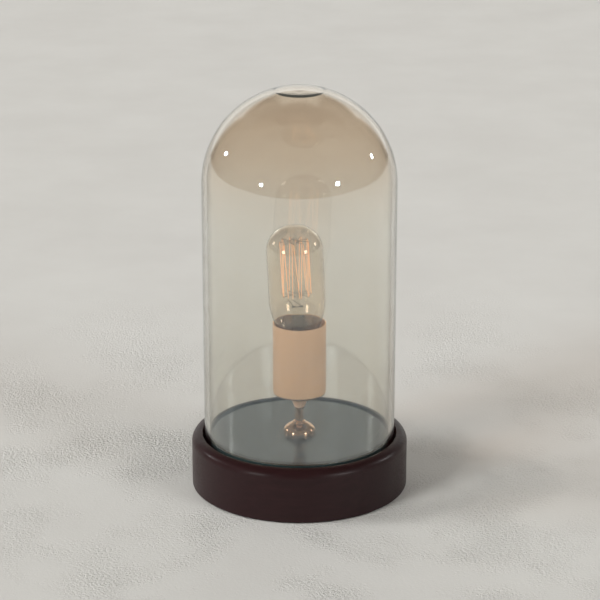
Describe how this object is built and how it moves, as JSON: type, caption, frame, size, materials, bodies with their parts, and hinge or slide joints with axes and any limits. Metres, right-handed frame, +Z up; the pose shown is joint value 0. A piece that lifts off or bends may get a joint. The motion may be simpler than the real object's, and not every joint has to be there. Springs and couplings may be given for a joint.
{
  "type": "cloche lamp",
  "caption": "Table lamp with a filament bulb in a copper cup on a mirror plate, under a lift-off amber glass cloche set in the groove of a dark turned wooden base.",
  "frame": {"origin": "Centre of the underside, on the plane of the table that the felt ring rests on.", "axes": "+Z up along the axis of base, stem and cloche; -Y to the front as pictured; +X to the right seen from the front; the cord inlet is at the back on +Y."},
  "size_m": [0.17, 0.17, 0.3211],
  "materials": {
    "espresso_wood": "satin lacquer",
    "mirror_grey": "polished",
    "felt": "matt",
    "hardboard": "matt",
    "zinc_steel": "zinc plated",
    "black_plastic": "matt",
    "white_plastic": "matt",
    "brass": "plain",
    "polished_copper": "polished",
    "satin_copper": "satin",
    "phenolic": "satin",
    "brown_lead": "satin",
    "blue_lead": "satin",
    "lustre_glass": "clear amber lustre",
    "solder": "dull",
    "cap_metal": "plain",
    "black_glass": "glossy",
    "bulb_glass": "clear, pale amber",
    "mount_glass": "clear",
    "filament": "glowing",
    "nickel_wire": "dull"
  },
  "bodies": {
    "base": {"wood_base": "espresso_wood", "mirror_plate": "mirror_grey", "felt_ring": "felt", "base_cover": "hardboard", "cover_screws": "zinc_steel", "stem_washer": "zinc_steel", "holder_bracket": "zinc_steel", "holder_screws": "zinc_steel", "cord_bushing": "black_plastic", "terminal_block": "white_plastic", "terminal_screws": "brass", "stem_locknut": "brass", "cup_nut": "brass", "holder_shell": "brass", "holder_contact": "brass", "foot_bead": "polished_copper", "stem_tube": "polished_copper", "holder_cup": "satin_copper", "cup_collar": "satin_copper", "holder_body": "phenolic", "live_lead": "brown_lead", "neutral_lead": "blue_lead"},
    "glass": {"glass_dome": "lustre_glass"},
    "bulb_tip": {"cap_contact": "solder"},
    "bulb": {"bulb_glass": "bulb_glass", "bulb_cap": "cap_metal", "cap_insulator": "black_glass", "bulb_mount": "mount_glass", "filament": "filament", "filament_hooks": "nickel_wire", "lead_in_wires": "nickel_wire"}
  },
  "joints": [
    {"name": "dome_lift", "type": "slide", "parent": "base", "child": "glass", "axis": [0, 0, 1], "range_m": [0, 0.22]},
    {"name": "bulb_rise", "type": "slide", "parent": "base", "child": "bulb_tip", "axis": [0, 0, 1], "range_m": [0, 0.0255]},
    {"name": "bulb_turn", "type": "hinge", "parent": "bulb_tip", "child": "bulb", "pos_m": [0, 0, 0.1], "axis": [0, 0, 1], "range_deg": [0, 2520]}
  ],
  "couplings": [
    {"joint": "bulb_rise", "follows": "bulb_turn", "m_per_rad": 0.00057757}
  ]
}
